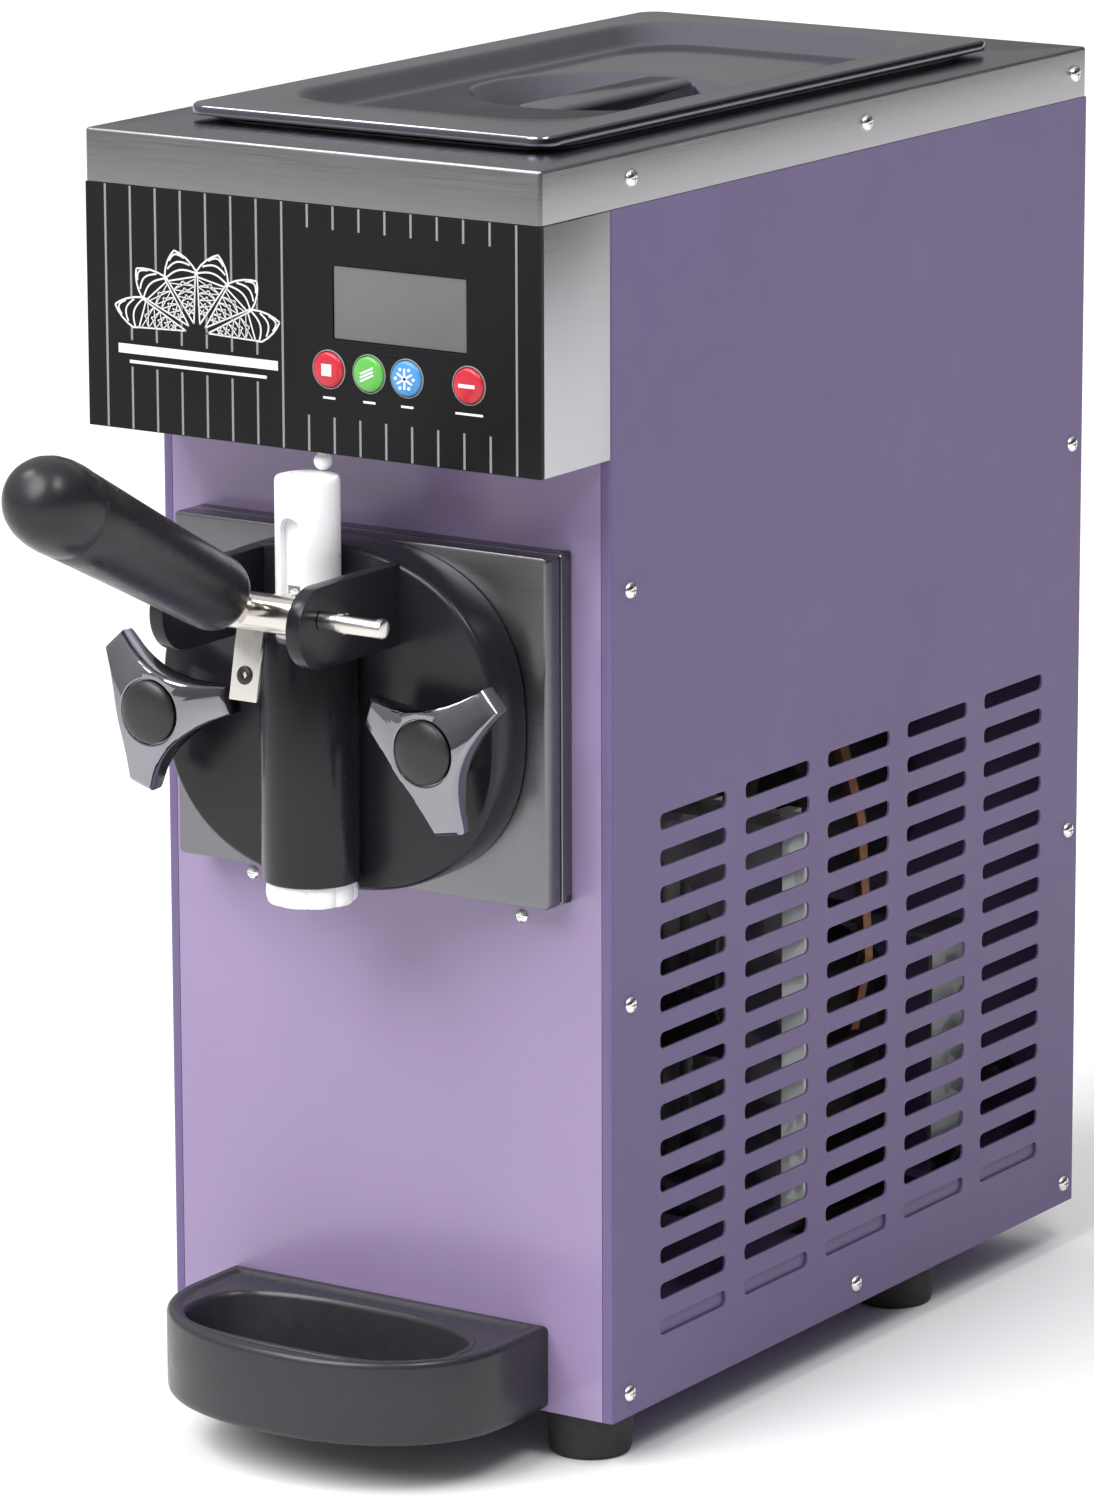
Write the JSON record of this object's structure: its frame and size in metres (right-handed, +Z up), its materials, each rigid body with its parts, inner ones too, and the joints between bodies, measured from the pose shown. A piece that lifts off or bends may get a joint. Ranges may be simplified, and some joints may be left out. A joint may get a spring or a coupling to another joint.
{
  "type": "soft serve ice cream machine",
  "caption": "Countertop soft-serve ice cream machine with an overhanging control head, lift-off hopper lid, lever-drawn nozzle and drip tray.",
  "frame": {"origin": "on the floor under the middle of the machine's overall box", "axes": "+Z up, -Y towards the user, +X to the user's right when facing the machine"},
  "size_m": [0.24, 0.6854, 0.5993],
  "materials": {
    "purple_paint": "satin paint",
    "stainless": "brushed",
    "dark_plastic": "satin",
    "black_fascia": "semi-gloss",
    "display_grey": "semi-gloss",
    "button_red": "semi-gloss",
    "button_green": "semi-gloss",
    "button_blue": "semi-gloss",
    "white_plastic": "semi-gloss",
    "chrome": "polished",
    "rubber": "matte",
    "galvanised": "dull zinc",
    "copper": "satin",
    "foam": "rough",
    "cast_iron": "painted",
    "aluminium": "satin",
    "circuit_green": "satin"
  },
  "bodies": {
    "cabinet": {"base_pan": "galvanised", "foot_front_left": "rubber", "foot_front_right": "rubber", "foot_rear_left": "rubber", "foot_rear_right": "rubber", "front_panel": "purple_paint", "left_side_panel": "purple_paint", "right_side_panel": "purple_paint", "rear_panel": "purple_paint", "top_cover": "stainless", "head_shell": "stainless", "control_panel": "black_fascia", "display_window": "display_grey", "control_board": "circuit_green", "hopper_pan": "stainless", "hopper_insulation": "foam", "air_tube": "white_plastic", "feed_pipe": "stainless", "freezing_cylinder": "stainless", "evaporator_jacket": "copper", "cylinder_insulation": "foam", "face_plate": "stainless", "shaft_seal": "rubber", "gearbox": "cast_iron", "drive_belt": "rubber", "drive_motor": "cast_iron", "motor_mount": "galvanised", "compressor": "cast_iron", "condenser": "aluminium", "fan_shroud": "galvanised", "fan_motor": "cast_iron", "suction_line": "copper", "cable_gland": "rubber", "dispensing_door": "dark_plastic", "door_o_ring": "rubber", "stud_left": "stainless", "stud_right": "stainless", "pivot_pin": "stainless", "nozzle_cap": "white_plastic", "tray_hook_left": "stainless", "tray_hook_right": "stainless"},
    "dasher": {"dasher": "stainless"},
    "gearbox_pulley": {"gearbox_pulley": "aluminium"},
    "motor_pulley": {"motor_pulley": "aluminium"},
    "condenser_fan": {"condenser_fan": "dark_plastic"},
    "draw_lever": {"lever_yoke": "stainless", "handle_grip": "dark_plastic"},
    "draw_valve": {"draw_valve": "white_plastic"},
    "switch_plunger": {"switch_plunger": "white_plastic"},
    "hopper_lid": {"hopper_lid": "stainless", "lid_gasket": "rubber"},
    "drip_tray": {"drip_tray": "dark_plastic"},
    "button_stop": {"button_stop": "button_red"},
    "button_clean": {"button_clean": "button_green"},
    "button_cold": {"button_cold": "button_blue"},
    "button_set": {"button_set": "button_red"},
    "star_knob_left": {"star_knob_left": "chrome", "knob_cap_left": "rubber"},
    "star_knob_right": {"star_knob_right": "chrome", "knob_cap_right": "rubber"}
  },
  "joints": [
    {"name": "dasher_spin", "type": "hinge", "parent": "cabinet", "child": "dasher", "pos_m": [0, -0.00331, 0.338], "axis": [0, 1, 0], "continuous": true},
    {"name": "gearbox_pulley_spin", "type": "hinge", "parent": "cabinet", "child": "gearbox_pulley", "pos_m": [0, 0.18169, 0.338], "axis": [0, 1, 0], "continuous": true},
    {"name": "motor_pulley_spin", "type": "hinge", "parent": "cabinet", "child": "motor_pulley", "pos_m": [0, 0.18169, 0.223], "axis": [0, 1, 0], "continuous": true},
    {"name": "fan_spin", "type": "hinge", "parent": "cabinet", "child": "condenser_fan", "pos_m": [0, 0.07669, 0.163], "axis": [0, 1, 0], "continuous": true},
    {"name": "lever_pull", "type": "hinge", "parent": "cabinet", "child": "draw_lever", "pos_m": [0, -0.18631, 0.398], "axis": [1, 0, 0], "range_deg": [0, 15]},
    {"name": "valve_lift", "type": "slide", "parent": "cabinet", "child": "draw_valve", "axis": [0, 0, 1], "range_m": [0, 0.00942]},
    {"name": "switch_press", "type": "slide", "parent": "cabinet", "child": "switch_plunger", "axis": [0, 0, 1], "range_m": [0, 0.00942]},
    {"name": "lid_lift", "type": "slide", "parent": "cabinet", "child": "hopper_lid", "axis": [0, 0, 1], "range_m": [0, 0.15]},
    {"name": "tray_lift", "type": "slide", "parent": "cabinet", "child": "drip_tray", "axis": [0, 0, 1], "range_m": [0, 0.12]},
    {"name": "stop_press", "type": "slide", "parent": "cabinet", "child": "button_stop", "axis": [0, 1, 0], "range_m": [0, 0.0008], "stiffness_N_per_m": 300},
    {"name": "clean_press", "type": "slide", "parent": "cabinet", "child": "button_clean", "axis": [0, 1, 0], "range_m": [0, 0.0008], "stiffness_N_per_m": 300},
    {"name": "cold_press", "type": "slide", "parent": "cabinet", "child": "button_cold", "axis": [0, 1, 0], "range_m": [0, 0.0008], "stiffness_N_per_m": 300},
    {"name": "set_press", "type": "slide", "parent": "cabinet", "child": "button_set", "axis": [0, 1, 0], "range_m": [0, 0.0008], "stiffness_N_per_m": 300},
    {"name": "knob_left_turn", "type": "hinge", "parent": "cabinet", "child": "star_knob_left", "pos_m": [-0.073, -0.12881, 0.339], "axis": [0, 1, 0], "continuous": true},
    {"name": "knob_right_turn", "type": "hinge", "parent": "cabinet", "child": "star_knob_right", "pos_m": [0.073, -0.12881, 0.339], "axis": [0, 1, 0], "continuous": true}
  ],
  "couplings": [
    {"joint": "gearbox_pulley_spin", "follows": "dasher_spin", "ratio": 4},
    {"joint": "motor_pulley_spin", "follows": "dasher_spin", "ratio": 11.25},
    {"joint": "valve_lift", "follows": "lever_pull", "m_per_rad": 0.036},
    {"joint": "switch_press", "follows": "lever_pull", "m_per_rad": 0.036}
  ]
}
